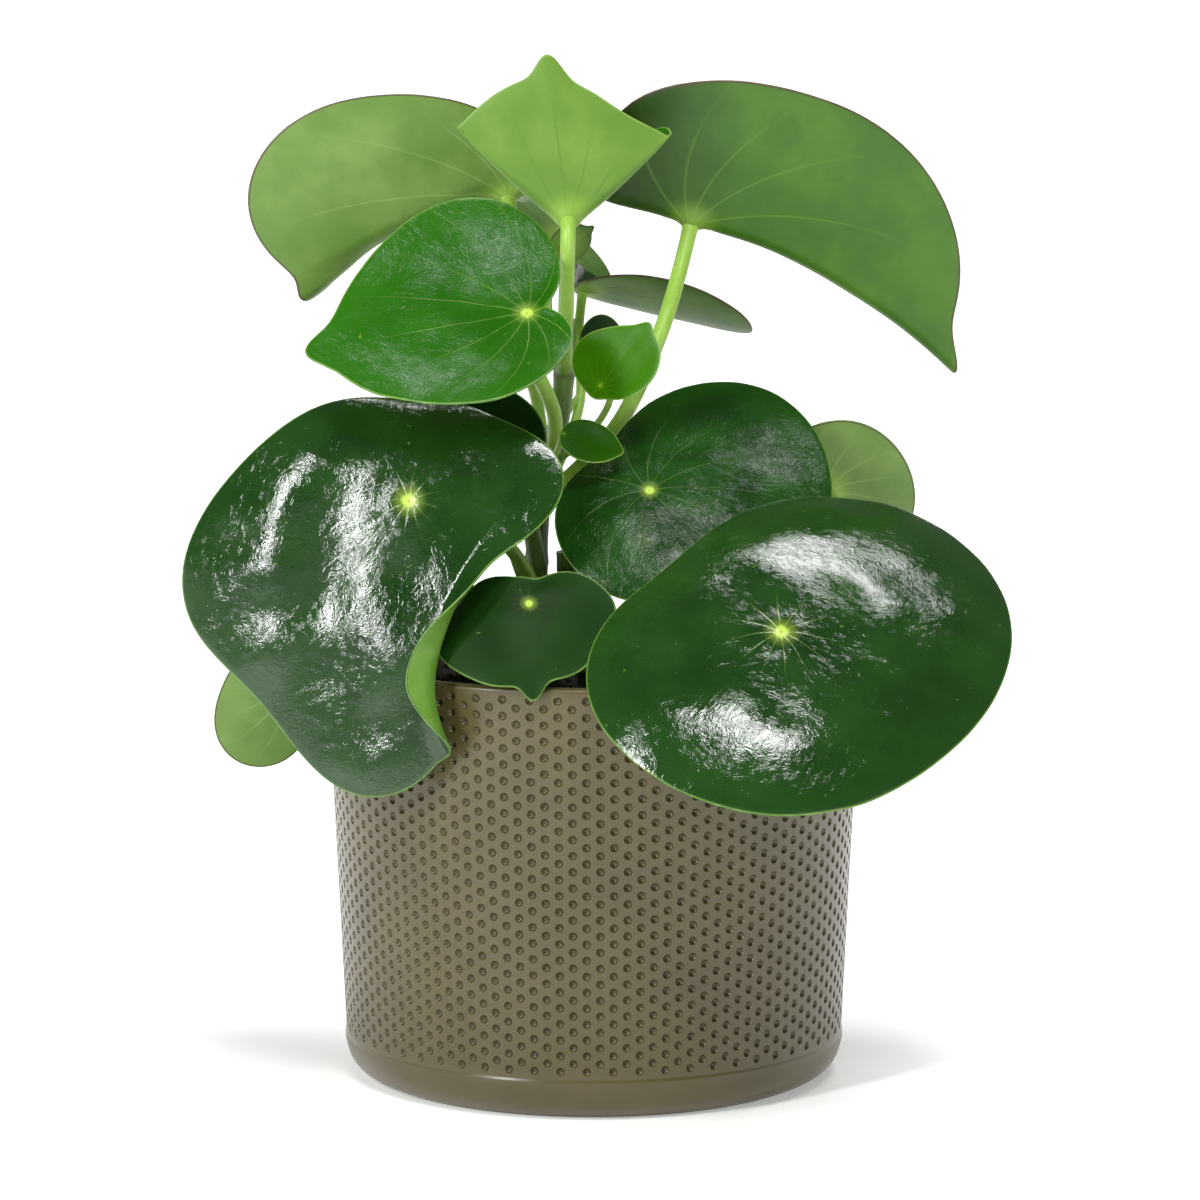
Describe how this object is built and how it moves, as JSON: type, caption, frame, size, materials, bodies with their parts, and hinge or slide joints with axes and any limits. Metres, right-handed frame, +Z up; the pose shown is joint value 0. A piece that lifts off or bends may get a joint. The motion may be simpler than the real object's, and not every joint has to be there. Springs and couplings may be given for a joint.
{
  "type": "potted plant",
  "caption": "Potted peperomia: glossy, thick round leaves, each held at its middle by a petiole, on upright stems in a soil-filled round pot with a dimpled wall and smooth foot band",
  "frame": {"origin": "centre of the pot's flat foot, on the ground plane", "axes": "+Z up along the pot's axis, -Y towards the front seen in the picture, +X to the right of that view"},
  "size_m": [0.2086, 0.1951, 0.2652],
  "materials": {
    "leaf": "glossy",
    "stem": "satin",
    "soil": "rough",
    "pot": "satin glaze"
  },
  "bodies": {
    "root": {"pot": "pot", "soil": "soil", "stem_main": "stem", "stem_left": "stem", "stem_right": "stem", "leaf_front_left": "leaf", "leaf_front_right": "leaf", "leaf_mid_right": "leaf", "leaf_low_centre": "leaf", "leaf_mid_left": "leaf", "leaf_top_left": "leaf", "leaf_top_centre": "leaf", "leaf_top_right": "leaf", "leaf_bud_upper": "leaf", "leaf_bud_lower": "leaf", "leaf_back_right": "leaf", "leaf_behind_right": "leaf", "leaf_low_left": "leaf", "leaf_young_tip": "leaf", "leaf_behind_top": "leaf", "leaf_shade_left": "leaf", "leaf_shade_right": "leaf", "leaf_low_back": "leaf", "leaf_back_high": "leaf", "leaf_back_middle": "leaf", "leaf_back_left": "leaf", "leaf_back_low": "leaf"}
  },
  "joints": []
}
